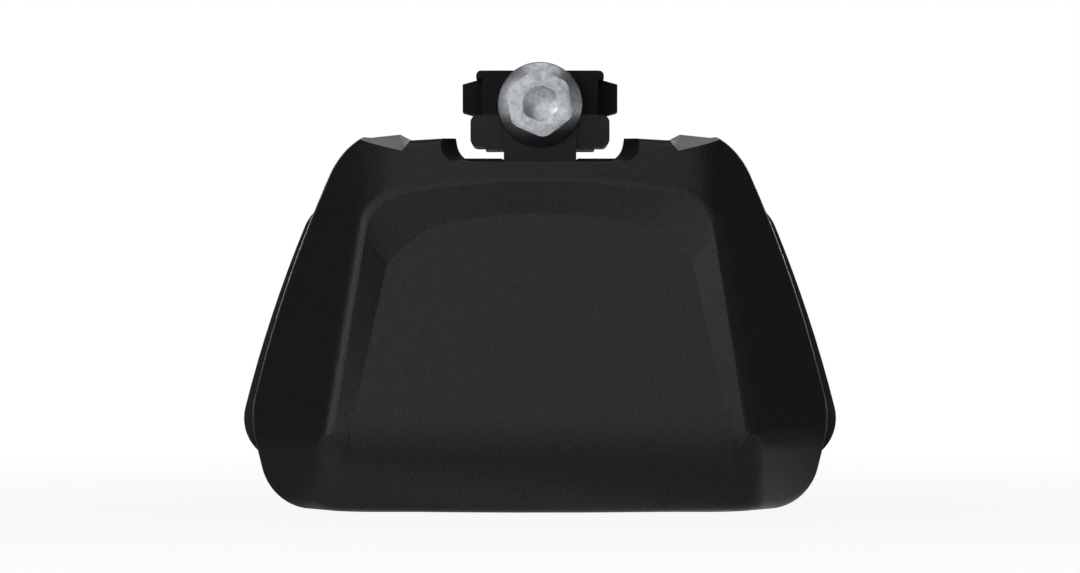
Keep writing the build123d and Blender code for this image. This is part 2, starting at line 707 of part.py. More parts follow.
# Bar bracket: stem with a T-shaped head that holds the wedge and the jaws
with BuildPart() as bar_bracket:
    with BuildSketch(front_plane(STEM_FRONT)) as stem_front:
        with Locations((0, STEM_BOTTOM)):
            Rectangle(2 * STEM_HALF, SLOT_FLOOR - STEM_BOTTOM, align=STANDING)
    extrude(amount=-STEM_THICK)
    with BuildSketch(front_plane(STEM_FRONT)):
        with Locations((0, HEAD_BOTTOM)):
            Rectangle(2 * STEM_HALF, STEM_TOP - HEAD_BOTTOM, align=STANDING)
    extrude(amount=-(STEM_FRONT - CAP_FRONT + CAP_RADIUS))
    with BuildSketch(front_plane(HEAD_FRONT)):
        with Locations((0, (HEAD_BOTTOM + SLOT_FLOOR) / 2)):
            RectangleRounded(2 * HEAD_HALF, SLOT_FLOOR - HEAD_BOTTOM, HEAD_RADIUS)
    extrude(amount=-(HEAD_FRONT + HEAD_REAR))
    with BuildSketch(front_plane(HEAD_FRONT)):
        with Locations((0, HEAD_BOTTOM - HEAD_STEP)):
            Rectangle(2 * HEAD_STEP_HALF, HEAD_STEP + HEAD_RADIUS, align=STANDING)
    extrude(amount=-(HEAD_FRONT + HEAD_REAR))
    with BuildSketch(front_plane(CAP_FRONT)):
        with Locations((0, SLOT_TOP + CAP_THICK / 2)):
            Rectangle(2 * CAP_HALF, CAP_THICK)
    extrude(amount=-(CAP_FRONT + HEAD_REAR))
    # Wall between the bolt's seat and the wedge, which also guides the jaws
    with BuildSketch(front_plane(CAP_FRONT)):
        with Locations((0, SLOT_FLOOR - HEAD_RADIUS)):
            Rectangle(2 * NAVE_HALF, SLOT_HEIGHT + HEAD_RADIUS + CAP_THICK / 2, align=STANDING)
    extrude(amount=-(CAP_FRONT + JAW_PLACE - SLIDE_GAP))
    # Rear posts that guide the jaws and carry the cap
    post_width = CAP_HALF - POCKET_HALF
    with BuildSketch(front_plane(-(JAW_REAR + SLIDE_GAP))):
        with Locations(*pair(CAP_HALF - post_width / 2, SLOT_FLOOR - HEAD_RADIUS)):
            Rectangle(post_width, SLOT_HEIGHT + HEAD_RADIUS + CAP_THICK / 2, align=STANDING)
    extrude(amount=-(HEAD_REAR - JAW_REAR - SLIDE_GAP))
    cap_edges = bar_bracket.edges().filter_by(Axis.Y).sort_by(Axis.Z)[-2:]
    fillet(cap_edges, CAP_RADIUS)
    # Room for the wedge, ahead of it and below the jaws
    wedge_room = WEDGE_PLACE - WEDGE_FORWARD - WEDGE_GAP
    with BuildSketch(front_plane(-wedge_room)):
        with Locations((0, WEDGE_FLOOR)):
            Rectangle(2 * POCKET_HALF, SLOT_FLOOR - WEDGE_FLOOR, align=STANDING)
    extrude(amount=-HEAD_REAR, mode=Mode.SUBTRACT)
    nose_half = WEDGE_FRONT_HALF + (JAW_PLACE - wedge_room) * WEDGE_SLOPE + WEDGE_GAP
    with BuildSketch(front_plane(-wedge_room)):
        with Locations((0, WEDGE_FLOOR)):
            Rectangle(2 * nose_half, SLOT_TOP - WEDGE_FLOOR, align=STANDING)
    extrude(amount=-(JAW_PLACE - wedge_room), mode=Mode.SUBTRACT)
    round_hole(front_plane(STEM_FRONT), BOLT_RADIUS + BOLT_HOLE_GAP, [(0, BOLT_Z)], STEM_FRONT + JAW_PLACE)
    for level, height in BRACKET_SCREWS:
        round_hole(front_plane(STEM_FRONT), BRACKET_SCREW_RADIUS + WASHER_GAP, [(0, height)], STEM_THICK)
save(bar_bracket, "bar_bracket")

# Bracket screws and their washers
for level, height in BRACKET_SCREWS:
    seat = front_plane(STEM_FRONT)
    with BuildPart() as bracket_washer:
        with BuildSketch(seat):
            with Locations((0, height)):
                Circle(WASHER_RADIUS)
                Circle(BRACKET_SCREW_RADIUS + WASHER_GAP, mode=Mode.SUBTRACT)
        extrude(amount=WASHER_THICK)
    save(bracket_washer, f"bracket_washer_{level}")
    with BuildPart() as bracket_screw:
        round_post(
            seat.offset(WASHER_THICK),
            BRACKET_SCREW_RADIUS,
            [(0, height)],
            WASHER_THICK + STEM_THICK + BRACKET_SCREW_GRIP,
        )
        round_post(
            seat.offset(WASHER_THICK + BRACKET_SCREW_HEAD),
            BRACKET_SCREW_HEAD_RADIUS,
            [(0, height)],
            BRACKET_SCREW_HEAD,
        )
        head_rim = bracket_screw.faces().sort_by(Axis.Y)[0].edges()
        chamfer(head_rim, BRACKET_SCREW_HEAD_RADIUS / 10)
        with BuildSketch(seat.offset(WASHER_THICK + BRACKET_SCREW_HEAD)):
            with Locations((0, height)):
                RegularPolygon(BRACKET_SCREW_SOCKET / 2, 6, major_radius=False)
        extrude(amount=-BRACKET_SCREW_SOCKET_DEPTH, mode=Mode.SUBTRACT)
    save(bracket_screw, f"bracket_screw_{level}")

# Clamp bolt: hexagon head with a conical flange, and a groove for the end clip
bolt_axis = Axis((0, 0, BOLT_Z), (0, 1, 0))
bolt_seat = front_plane(STEM_FRONT)
bolt_tail = CLIP_PLACE + CLIP_THICK + BOLT_END
with BuildPart() as clamp_bolt:
    with BuildSketch(bolt_seat):
        with Locations((0, BOLT_Z)):
            RegularPolygon(BOLT_HEX / 2, 6, major_radius=False, rotation=BOLT_HEX_TURN)
    extrude(amount=BOLT_HEAD)
    # Turned chamfer on the hexagon's corners
    corner = BOLT_HEX / 2 / cos(radians(30))
    head_front = -STEM_FRONT - BOLT_HEAD
    with BuildSketch(Plane.YZ):
        with BuildLine():
            Polyline(
                (head_front, BOLT_Z + corner - 2 * BOLT_CHAMFER),
                (head_front, BOLT_Z + corner + BOLT_CHAMFER),
                (head_front + 1.5 * BOLT_CHAMFER, BOLT_Z + corner + BOLT_CHAMFER),
                close=True,
            )
        make_face()
    revolve(axis=bolt_axis, mode=Mode.SUBTRACT)
    with BuildSketch(Plane.YZ):
        with BuildLine():
            Polyline(
                (-STEM_FRONT, BOLT_Z),
                (-STEM_FRONT, BOLT_Z + BOLT_FLANGE_RADIUS),
                (-STEM_FRONT - BOLT_FLANGE_RIM, BOLT_Z + BOLT_FLANGE_RADIUS),
                (-STEM_FRONT - BOLT_FLANGE_HEIGHT, BOLT_Z + BOLT_HEX / 2),
                (-STEM_FRONT - BOLT_FLANGE_HEIGHT, BOLT_Z),
                close=True,
            )
        make_face()
    revolve(axis=bolt_axis)
    # Dished hexagon in the head's face
    with BuildSketch(bolt_seat.offset(BOLT_HEAD)):
        with Locations((0, BOLT_Z)):
            RegularPolygon(BOLT_DISH_HEX / 2, 6, major_radius=False, rotation=BOLT_HEX_TURN)
    extrude(amount=-BOLT_DISH_DEPTH, taper=45, mode=Mode.SUBTRACT)
    round_post(bolt_seat, BOLT_RADIUS, [(0, BOLT_Z)], STEM_FRONT + bolt_tail)
    tail_rim = clamp_bolt.faces().sort_by(Axis.Y)[-1].edges()
    chamfer(tail_rim, BOLT_END / 2)
    with BuildSketch(front_plane(-CLIP_PLACE)):
        with Locations((0, BOLT_Z)):
            Circle(2 * BOLT_RADIUS)
            Circle(CLIP_GROOVE_RADIUS, mode=Mode.SUBTRACT)
    extrude(amount=-CLIP_THICK, mode=Mode.SUBTRACT)
save(clamp_bolt, "clamp_bolt")

# End clip: open ring in the bolt's groove
with BuildPart() as end_clip:
    with BuildSketch(front_plane(-CLIP_PLACE)):
        with Locations((0, BOLT_Z)):
            Circle(CLIP_RADIUS)
            Circle(CLIP_GROOVE_RADIUS, mode=Mode.SUBTRACT)
            Rectangle(CLIP_MOUTH, 2 * CLIP_RADIUS, align=(Align.CENTER, Align.MAX), mode=Mode.SUBTRACT)
    extrude(amount=-CLIP_THICK)
save(end_clip, "end_clip")


def ramp_plane(gap):
    """Plane across the wedge's right ramp at its front end, facing along the ramp."""
    length = hypot(1, WEDGE_SLOPE)
    along = (WEDGE_SLOPE / length, 1 / length, 0)
    return Plane(origin=(WEDGE_FRONT_HALF + gap, WEDGE_PLACE, RAIL_Z), x_dir=(0, 0, 1), z_dir=along)


def rail_face(plane, gap):
    """Dovetail section that stands out of the wedge's ramp."""
    neck = RAIL_NECK / 2 + gap
    width = RAIL_WIDTH / 2 + gap
    reach = RAIL_HEIGHT + gap
    with BuildSketch(plane) as face:
        with BuildLine():
            Polyline((-neck, reach / 4), (-neck, 0), (-width, -reach), (width, -reach), (neck, 0),
                     (neck, reach / 4), close=True)
        make_face()
    return face.sketch


# Wedge nut: threaded wedge with a dovetail rail on each ramp
with BuildPart() as wedge_nut:
    with BuildSketch(Plane.XY.offset(WEDGE_FLOOR + SLIDE_GAP)):
        with BuildLine():
            Polyline(
                (-WEDGE_FRONT_HALF, WEDGE_PLACE),
                (WEDGE_FRONT_HALF, WEDGE_PLACE),
                (WEDGE_REAR_HALF, WEDGE_REAR),
                (-WEDGE_REAR_HALF, WEDGE_REAR),
                close=True,
            )
        make_face()
    extrude(amount=SLOT_TOP - WEDGE_FLOOR - 2 * SLIDE_GAP)
    ramp_length = WEDGE_LENGTH * hypot(1, WEDGE_SLOPE)
    rail = extrude(rail_face(ramp_plane(0).offset(RAIL_END), 0), amount=ramp_length - 2 * RAIL_END)
    mirror(rail, about=Plane.YZ)
    round_hole(front_plane(-WEDGE_PLACE), BOLT_RADIUS + BOLT_THREAD_GAP, [(0, BOLT_Z)], WEDGE_LENGTH)
save(wedge_nut, "wedge_nut")

# Jaws: sliding keys with a dovetail groove, tapered towards the tip
with BuildPart() as jaw_right:
    ramp_front = WEDGE_FRONT_HALF + JAW_FACE_GAP + (JAW_PLACE - WEDGE_PLACE) * WEDGE_SLOPE
    ramp_rear = ramp_front + JAW_LENGTH * WEDGE_SLOPE
    with BuildSketch(Plane.XY.offset(SLOT_FLOOR + SLIDE_GAP)):
        with BuildLine():
            Polyline(
                (ramp_front, JAW_PLACE),
                (JAW_TIP_HALF, JAW_PLACE),
                (JAW_TIP_HALF, JAW_REAR),
                (ramp_rear, JAW_REAR),
                close=True,
            )
        make_face()
    jaw_height = SLOT_HEIGHT - 2 * SLIDE_GAP
    extrude(amount=jaw_height)
    taper = (jaw_height - JAW_TIP_HEIGHT) / 2
    low = SLOT_FLOOR + SLIDE_GAP
    with BuildSketch(front_plane(-JAW_PLACE)):
        with BuildLine():
            Polyline(
                (0, low),
                (JAW_TIP_HALF - JAW_LIP, low),
                (JAW_TIP_HALF, low + taper),
                (JAW_TIP_HALF, low + taper + JAW_TIP_HEIGHT),
                (JAW_TIP_HALF - JAW_LIP, low + jaw_height),
                (0, low + jaw_height),
                close=True,
            )
        make_face()
    extrude(amount=-JAW_LENGTH, mode=Mode.INTERSECT)
    groove = rail_face(ramp_plane(0).offset(-JAW_LENGTH), RAIL_GAP)
    extrude(groove, amount=3 * JAW_LENGTH, mode=Mode.SUBTRACT)
    # Relief that clears the bolt when the jaw is drawn in
    drawn_in = WEDGE_BACK * WEDGE_SLOPE
    round_hole(front_plane(-JAW_PLACE), BOLT_RADIUS + WEDGE_GAP, [(drawn_in, BOLT_Z)], JAW_LENGTH)
save(jaw_right, "jaw_right")
with BuildPart() as jaw_left:
    mirror(jaw_right.part, about=Plane.YZ)
save(jaw_left, "jaw_left")

# Grommets: flanged rubber bushes in the leg's pillars
for level, half, height in PEGS:
    for side, sign in SIDES:
        place = [(sign * half, height)]
        with BuildPart() as grommet:
            round_post(front_plane(PILLAR_FRONT), GROMMET_RADIUS, place, GROMMET_LENGTH)
            round_post(front_plane(GROMMET_FACE), GROMMET_FLANGE_RADIUS, place, GROMMET_FLANGE)
            round_hole(front_plane(GROMMET_FACE), GROMMET_BORE, place, GROMMET_FLANGE + GROMMET_LENGTH)
        save(grommet, f"grommet_{level}_{side}")

# Hollow of the rear cover
with BuildPart() as rear_cavity:
    hollow_depth = REAR_RIM_FRONT + REAR_DEPTH - REAR_WALL
    extrude(rear_face(front_plane(REAR_RIM_FRONT), REAR_WALL), amount=-hollow_depth)
    fillet(rear_cavity.faces().sort_by(Axis.Y)[-1].edges(), REAR_EDGE_RADIUS - REAR_WALL)

# Rear cover: round-edged shell with screw posts, cut out for the neck and the leg's foot
with BuildPart() as rear_cover:
    extrude(rear_face(front_plane(REAR_RIM_FRONT)), amount=-(REAR_RIM_FRONT + REAR_DEPTH))
    fillet(rear_cover.faces().sort_by(Axis.Y)[-1].edges(), REAR_EDGE_RADIUS)
    add(rear_cavity.part, mode=Mode.SUBTRACT)
    for level, half, height in REAR_SCREWS:
        post_length = REAR_DEPTH - WEB_REAR - REAR_WALL / 2
        round_post(front_plane(-WEB_REAR), REAR_POST_RADIUS, pair(half, height), post_length)
        round_hole(
            front_plane(-WEB_REAR),
            REAR_SCREW_RADIUS + REAR_SCREW_GAP,
            pair(half, height),
            REAR_SCREW_GRIP + REAR_WALL,
        )
    with BuildSketch(Plane.XY.offset(REAR_TOP_Z - REAR_EDGE_RADIUS)):
        with Locations((0, NECK_REAR + REAR_CUT_GAP)):
            Rectangle(2 * (NECK_HALF + REAR_CUT_GAP), FAR, align=(Align.CENTER, Align.MAX))
    extrude(amount=FAR, mode=Mode.SUBTRACT)
    with BuildSketch(Plane.XY):
        with Locations((0, FLANGE_REAR - GUSSET_INSET + REAR_CUT_GAP)):
            Rectangle(2 * (WEB_FOOT_HALF + REAR_CUT_GAP), FAR, align=(Align.CENTER, Align.MAX))
    extrude(amount=REAR_BOTTOM + REAR_EDGE_RADIUS / 2, mode=Mode.SUBTRACT)
save(rear_cover, "rear_cover")

# Rear cover screws, driven from the web's front
for level, half, height in REAR_SCREWS:
    for side, sign in SIDES:
        place = [(sign * half, height)]
        with BuildPart() as rear_screw:
            head_plane = front_plane(REAR_SCREW_HEAD - WEB_PLACE)
            round_post(head_plane, REAR_SCREW_HEAD_RADIUS, place, REAR_SCREW_HEAD)
            head_rim = rear_screw.faces().sort_by(Axis.Y)[0].edges()
            chamfer(head_rim, REAR_SCREW_HEAD / 3)
            round_post(front_plane(-WEB_PLACE), REAR_SCREW_RADIUS, place, WEB_THICK + REAR_SCREW_GRIP)
            with BuildSketch(head_plane):
                with Locations(*place):
                    Rectangle(REAR_SCREW_HEAD_RADIUS, REAR_SCREW_HEAD / 3)
                    Rectangle(REAR_SCREW_HEAD / 3, REAR_SCREW_HEAD_RADIUS)
            extrude(amount=-REAR_SCREW_HEAD / 2, mode=Mode.SUBTRACT)
        save(rear_screw, f"rear_cover_screw_{level}_{side}")

# Hollow of the front cover
side_back = COVER_WALL * hypot(1, SIDE_FLARE) / SIDE_FLARE
with BuildPart() as cover_cavity:
    loft([ridge_face(side_back), rim_face(side_back)], ruled=True)
    extrude(cover_face(front_plane(-FAR), COVER_WALL), amount=2 * FAR, mode=Mode.INTERSECT)
    extrude(cavity_side_face(), amount=FAR, both=True, mode=Mode.INTERSECT)
    for side, sign in SIDES:
        extrude(skirt_face(sign, COVER_WALL), amount=FAR, both=True, mode=Mode.INTERSECT)
    # Saddle left solid under the notch
    with BuildSketch(front_plane(NOTCH_REAR)):
        with Locations((0, NOTCH_FLOOR_Z - COVER_WALL)):
            Rectangle(2 * (NOTCH_FRONT_HALF + NOTCH_MARGIN), FAR, align=STANDING)
    extrude(amount=FAR, mode=Mode.SUBTRACT)
    # Peg bosses left solid, from the rim to the inside of the face
    for level, half, height in PEGS:
        round_hole(front_plane(FAR), PEG_BOSS_RADIUS, pair(half, height), FAR - PEG_SHOULDER)

# Front cover: faceted shell with a ridge, a sunken panel, a notch for the bar and four pegs
with BuildPart() as front_cover:
    loft([ridge_face(0), rim_face(0)], ruled=True)
    facing = leaning_plane(FACE_FRONT, FOLD_Z, FACE_LEAN).z_dir
    land = front_cover.faces().sort_by(Axis((0, 0, 0), facing))[-1]
    fillet(land.edges().sort_by(Axis.Z)[1:], RIDGE_RADIUS)
    loft([panel_face(), ridge_face(0, RIDGE_LAND, RECESS_RUN)], ruled=True, mode=Mode.SUBTRACT)
    extrude(chin_face(), amount=FAR, both=True, mode=Mode.INTERSECT)
    for side, sign in SIDES:
        extrude(skirt_face(sign), amount=FAR, both=True, mode=Mode.INTERSECT)
        extrude(cheek_face(sign), amount=FAR, both=True, mode=Mode.INTERSECT)
    extrude(cover_face(front_plane(COVER_RIM_FRONT)), amount=FAR, mode=Mode.INTERSECT)
    # Roll the whole outline's front edge
    walls = front_cover.faces().filter_by(lambda f: abs(f.normal_at().Y) < PICK_FLAT)
    rolled = walls.edges().filter_by(lambda e: abs(e.tangent_at(0.5).Y) < PICK_ALONG)
    fillet(rolled.filter_by(lambda e: e.center().Y < -COVER_RIM_FRONT - PICK_MARGIN), COVER_EDGE_RADIUS)
    extrude(fold_face(), amount=PANEL_FOLD_HALF, both=True, mode=Mode.SUBTRACT)
    add(cover_cavity.part, mode=Mode.SUBTRACT)
    # Floor window that clears the base
    with BuildSketch(front_plane(FLANGE_FRONT + PAD_RIM + COVER_FLOOR_GAP)):
        with Locations((0, -FLANGE_TOP)):
            Rectangle(2 * FLOOR_HALF, 2 * FLANGE_TOP, align=STANDING)
    extrude(amount=-FAR, mode=Mode.SUBTRACT)
    # Notch, open to the rear behind its saddle
    loft([notch_face(NOTCH_REAR - NOTCH_MARGIN), notch_face(FACE_FRONT)], ruled=True, mode=Mode.SUBTRACT)
    with BuildSketch(front_plane(NOTCH_REAR)):
        with Locations((0, NOTCH_FLOOR_Z - 2 * COVER_WALL)):
            Rectangle(2 * (NOTCH_FRONT_HALF + NOTCH_MARGIN), FAR, align=STANDING)
    extrude(amount=-FAR, mode=Mode.SUBTRACT)
    # Shoulder facets: a valley that climbs from the face to a peak at the rim
    climb = (COVER_DIP_Z - FACET_LOW_Z) / (FACET_PEAK_Z - FACET_LOW_Z)
    crossing_half = FACET_LOW_HALF + climb * (FACET_PEAK_HALF - FACET_LOW_HALF)
    crossing_front = FACET_FRONT - climb * (FACET_FRONT - COVER_RIM_FRONT)
    for side, sign in SIDES:
        peak = Vertex(sign * FACET_PEAK_HALF, -COVER_RIM_FRONT, FACET_PEAK_Z)
        loft([facet_face(sign), peak], ruled=True, mode=Mode.SUBTRACT)
        crossing = Vertex(sign * crossing_half, -crossing_front, COVER_DIP_Z)
        loft([peak_face(sign), crossing], ruled=True)
    # Pegs at the ends of the bosses
    for level, half, height in PEGS:
        peg_length = PEG_BOSS_RADIUS + PEG_SHOULDER - PILLAR_FRONT + PEG_REACH
        round_post(front_plane(PEG_SHOULDER + PEG_BOSS_RADIUS), PEG_RADIUS, pair(half, height), peg_length)
save(front_cover, "front_cover")
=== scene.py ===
"""Roof bar foot: finishes of every piece, the threaded clamp bolt, the studio and the camera.

Metres, in the part's own frame: X across the foot, the front cover faces -Y and Z is up.
"""
import json
from math import cos, pi, radians, tan

import bpy
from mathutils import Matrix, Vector


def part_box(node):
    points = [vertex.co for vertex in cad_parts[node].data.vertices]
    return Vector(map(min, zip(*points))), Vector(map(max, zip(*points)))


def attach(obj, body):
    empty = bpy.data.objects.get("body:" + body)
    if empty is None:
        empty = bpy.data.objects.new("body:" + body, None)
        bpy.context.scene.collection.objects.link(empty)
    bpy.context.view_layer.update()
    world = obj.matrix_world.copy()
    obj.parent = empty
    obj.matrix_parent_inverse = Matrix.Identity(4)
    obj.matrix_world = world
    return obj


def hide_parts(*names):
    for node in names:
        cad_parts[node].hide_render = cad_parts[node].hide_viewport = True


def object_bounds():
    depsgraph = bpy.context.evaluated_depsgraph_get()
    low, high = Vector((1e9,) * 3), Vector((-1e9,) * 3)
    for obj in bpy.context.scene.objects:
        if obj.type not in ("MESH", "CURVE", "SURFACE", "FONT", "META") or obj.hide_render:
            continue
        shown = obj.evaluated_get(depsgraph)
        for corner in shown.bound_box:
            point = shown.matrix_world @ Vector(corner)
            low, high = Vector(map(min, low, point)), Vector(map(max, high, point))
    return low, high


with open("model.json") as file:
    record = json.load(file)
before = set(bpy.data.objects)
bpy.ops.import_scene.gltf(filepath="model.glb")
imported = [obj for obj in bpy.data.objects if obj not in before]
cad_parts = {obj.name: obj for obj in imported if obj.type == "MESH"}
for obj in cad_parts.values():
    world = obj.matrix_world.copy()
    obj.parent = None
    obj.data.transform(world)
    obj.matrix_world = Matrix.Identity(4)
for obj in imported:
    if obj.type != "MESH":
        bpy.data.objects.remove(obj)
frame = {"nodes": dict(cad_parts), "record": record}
cad_low, cad_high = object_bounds()

MM = 0.001

# Photograph's frame and viewpoint
FRAME_WIDTH_PX = 1080
PX_PER_MM = 4.71
FOCUS_FRONT = 18.0 * MM
CAMERA_HEIGHT = 47.98 * MM
CAMERA_DISTANCE = 1218.0 * MM

# Clamp bolt: M8 flange bolt, in millimetres and degrees
HEX_ACROSS = 13.0
HEX_TURN = 7.0
HEX_CHAMFER = 30.0
CHAMFER_FACE = 1.08 * HEX_ACROSS / 2
HEX_EDGE = 0.2
EDGE_ANGLE = 25.0
DISH_ACROSS = 7.3
DISH_CORNER = 0.9
DISH_CORNER_ANGLE = 50.0
DISH_DEPTH = 1.0
DISH_CURVE = 8.5
DISH_SHIFT = 0.25
FLANGE_RIM = 1.2
FLANGE_TALL = 3.0
FLANGE_EDGE = 0.3
FLANGE_TOP = 0.9 * HEX_ACROSS / 2
FLANGE_INSET = 0.01
SHANK_RADIUS = 4.0
SHANK_PLAIN = 10.5
CORE_GAP = 0.1
GROOVE_RADIUS = 3.25
GROOVE_SPAN = 1.0
TAIL_SPAN = 1.1
TAIL_CHAMFER = 0.55
TURNED_SIDES = 96

# Thread, in millimetres, with the flats at its root and crest as shares of the pitch
THREAD_PITCH = 1.25
THREAD_DEPTH = 0.77
THREAD_ROOT = 0.25
THREAD_CREST = 0.125
THREAD_STEPS = 40
SPARE_TURNS = 2

# Dead black and matte from a height up: painted shade on the bracket's head from this height up, black all
# over the jaws and nowhere on the leg
DEAD_BLACK = "#080809"
DEAD_ROUGH = 0.8
HEAD_SHADE_HEIGHT = 84.8 * MM
BLACK_ALL_OVER = 0.0
NOWHERE_BLACK = 1.0
DEAD_BLACK_BLEND = 0.2 * MM

# Studio: distances in metres, brightness as a share of white
OBJECT_MIDDLE = Vector((0, 0, 0.045))
FLOOR_SIZE = 6.0
FLOOR_FADE_START = 0.08
FLOOR_FADE_END = 0.4
FLOOR_WHITE = 0.92
STUDIO_LIGHT = 0.05

# Floor as the object mirrors it: a white card close in front, then dimmer paper that brightens far ahead
AHEAD = (0.2, -1.0, 0.0)
CARD_FULL = 0.04
CARD_START = 0.036
CARD_END = 0.046
FLOOR_MIRRORED = 0.4
FAR_START = 0.06
FAR_END = 0.2
FLOOR_FAR = 0.65

# Backdrop as the object mirrors it: how squarely a direction points backwards, from its edge to full white
BACKDROP_EDGE = 0.78
BACKDROP_FULL = 0.9


def linear(hex_colour):
    """Linear RGBA of an sRGB hex colour."""
    channels = [int(hex_colour[i:i + 2], 16) / 255 for i in (1, 3, 5)]
    return [c / 12.92 if c <= 0.04045 else ((c + 0.055) / 1.055) ** 2.4 for c in channels] + [1.0]


def per_mm(size):
    """Pattern scale whose features are about this many millimetres wide."""
    return 1 / (size * MM)


def add_node(tree, kind, inputs=None, **settings):
    """Add a node with its settings, and set each input or link it to a socket."""
    node = tree.nodes.new(kind)
    for name, value in settings.items():
        setattr(node, name, value)
    for name, value in (inputs or {}).items():
        if isinstance(value, bpy.types.NodeSocket):
            tree.links.new(value, node.inputs[name])
        else:
            node.inputs[name].default_value = value
    return node


def empty_tree(name):
    """New material with a bare node tree."""
    material = bpy.data.materials.new(name)
    material.use_nodes = True
    material.node_tree.nodes.clear()
    return material, material.node_tree


def moulded_plastic(name, shade, tint, roughness):
    """Spark-eroded ABS: a matte grain, drawn coarser than it is so that it shows, and a faint flow mottle."""
    material, tree = empty_tree(name)
    place = add_node(tree, "ShaderNodeTexCoord").outputs["Object"]
    flow = add_node(tree, "ShaderNodeTexNoise", {"Vector": place, "Scale": per_mm(7.0), "Detail": 3.0})
    colour = add_node(
        tree, "ShaderNodeMix",
        {"Factor": flow.outputs["Fac"], "A": linear(shade), "B": linear(tint)},
        data_type="RGBA",
    )
    grain = add_node(
        tree, "ShaderNodeTexNoise",
        {"Vector": place, "Scale": per_mm(0.4), "Detail": 2.0, "Roughness": 0.6},
    )
    gloss = add_node(
        tree, "ShaderNodeMapRange",
        {"Value": grain.outputs["Fac"], "To Min": roughness - 0.06, "To Max": roughness + 0.06},
    )
    sheen = add_node(
        tree, "ShaderNodeMapRange",
        {"Value": grain.outputs["Fac"], "From Min": 0.3, "From Max": 0.7, "To Min": 0.22, "To Max": 0.38},
    )
    bump = add_node(
        tree, "ShaderNodeBump",
        {"Height": grain.outputs["Fac"], "Strength": 0.8, "Distance": 0.08 * MM},
    )
    shader = add_node(
        tree, "ShaderNodeBsdfPrincipled",
        {
            "Base Color": colour.outputs["Result"],
            "Roughness": gloss.outputs["Result"],
            "Normal": bump.outputs["Normal"],
            "Specular IOR Level": sheen.outputs["Result"],
        },
    )
    add_node(tree, "ShaderNodeOutputMaterial", {"Surface": shader.outputs["BSDF"]})
    return material


def coated_metal(name, shade, tint, roughness, peel, dead_black_above=NOWHERE_BLACK):
    """Black-coated metal: a thin skin with a slight orange peel, turned dead black and matte above a given
    height, which on the bracket's head is painted shade.
    """
    material, tree = empty_tree(name)
    place = add_node(tree, "ShaderNodeTexCoord").outputs["Object"]
    skin = add_node(tree, "ShaderNodeTexNoise", {"Vector": place, "Scale": per_mm(peel), "Detail": 3.0})
    colour = add_node(
        tree, "ShaderNodeMix",
        {"Factor": skin.outputs["Fac"], "A": linear(shade), "B": linear(tint)},
        data_type="RGBA",
    )
    gloss = add_node(
        tree, "ShaderNodeMapRange",
        {"Value": skin.outputs["Fac"], "To Min": roughness - 0.08, "To Max": roughness + 0.08},
    )
    bump = add_node(
        tree, "ShaderNodeBump",
        {"Height": skin.outputs["Fac"], "Strength": 0.3, "Distance": 0.05 * MM},
    )
    # Above the given height the colour goes dead black and the skin matte: painted shade where the bracket's
    # head sits back
    height = add_node(tree, "ShaderNodeSeparateXYZ", {"Vector": place})
    dead_black_mask = add_node(
        tree, "ShaderNodeMapRange",
        {"Value": height.outputs["Z"], "From Min": dead_black_above, "From Max": dead_black_above + DEAD_BLACK_BLEND},
    )
    blackened = add_node(
        tree, "ShaderNodeMix",
        {"Factor": dead_black_mask.outputs["Result"], "A": colour.outputs["Result"], "B": linear(DEAD_BLACK)},
        data_type="RGBA",
    )
    matte = add_node(
        tree, "ShaderNodeMapRange",
        {"Value": dead_black_mask.outputs["Result"], "To Min": gloss.outputs["Result"], "To Max": DEAD_ROUGH},
    )
    shader = add_node(
        tree, "ShaderNodeBsdfPrincipled",
        {
            "Base Color": blackened.outputs["Result"],
            "Roughness": matte.outputs["Result"],
            "Normal": bump.outputs["Normal"],
            "Specular IOR Level": 0.3,
        },
    )
    add_node(tree, "ShaderNodeOutputMaterial", {"Surface": shader.outputs["BSDF"]})
    return material


def zinc_steel(name, shade, tint, roughness, spangle):
    """Zinc-coated steel: pale grey with cloudy crystals and small bright flecks."""
    material, tree = empty_tree(name)
    place = add_node(tree, "ShaderNodeTexCoord").outputs["Object"]
    cloud = add_node(
        tree, "ShaderNodeTexNoise",
        {"Vector": place, "Scale": per_mm(spangle), "Detail": 5.0, "Roughness": 0.7},
    )
    crystal = add_node(
        tree, "ShaderNodeMapRange",
        {"Value": cloud.outputs["Fac"], "From Min": 0.2, "From Max": 0.8},
    )
    colour = add_node(
        tree, "ShaderNodeMix",
        {"Factor": crystal.outputs["Result"], "A": linear(shade), "B": linear(tint)},
        data_type="RGBA",
    )
    gloss = add_node(
        tree, "ShaderNodeMapRange",
        {"Value": crystal.outputs["Result"], "To Min": roughness + 0.1, "To Max": roughness - 0.1},
    )
    bump = add_node(
        tree, "ShaderNodeBump",
        {"Height": cloud.outputs["Fac"], "Strength": 0.25, "Distance": 0.08 * MM},
    )
    shader = add_node(
        tree, "ShaderNodeBsdfPrincipled",
        {
            "Base Color": colour.outputs["Result"],
            "Metallic": 1.0,
            "Roughness": gloss.outputs["Result"],
            "Normal": bump.outputs["Normal"],
        },
    )
    add_node(tree, "ShaderNodeOutputMaterial", {"Surface": shader.outputs["BSDF"]})
    return material


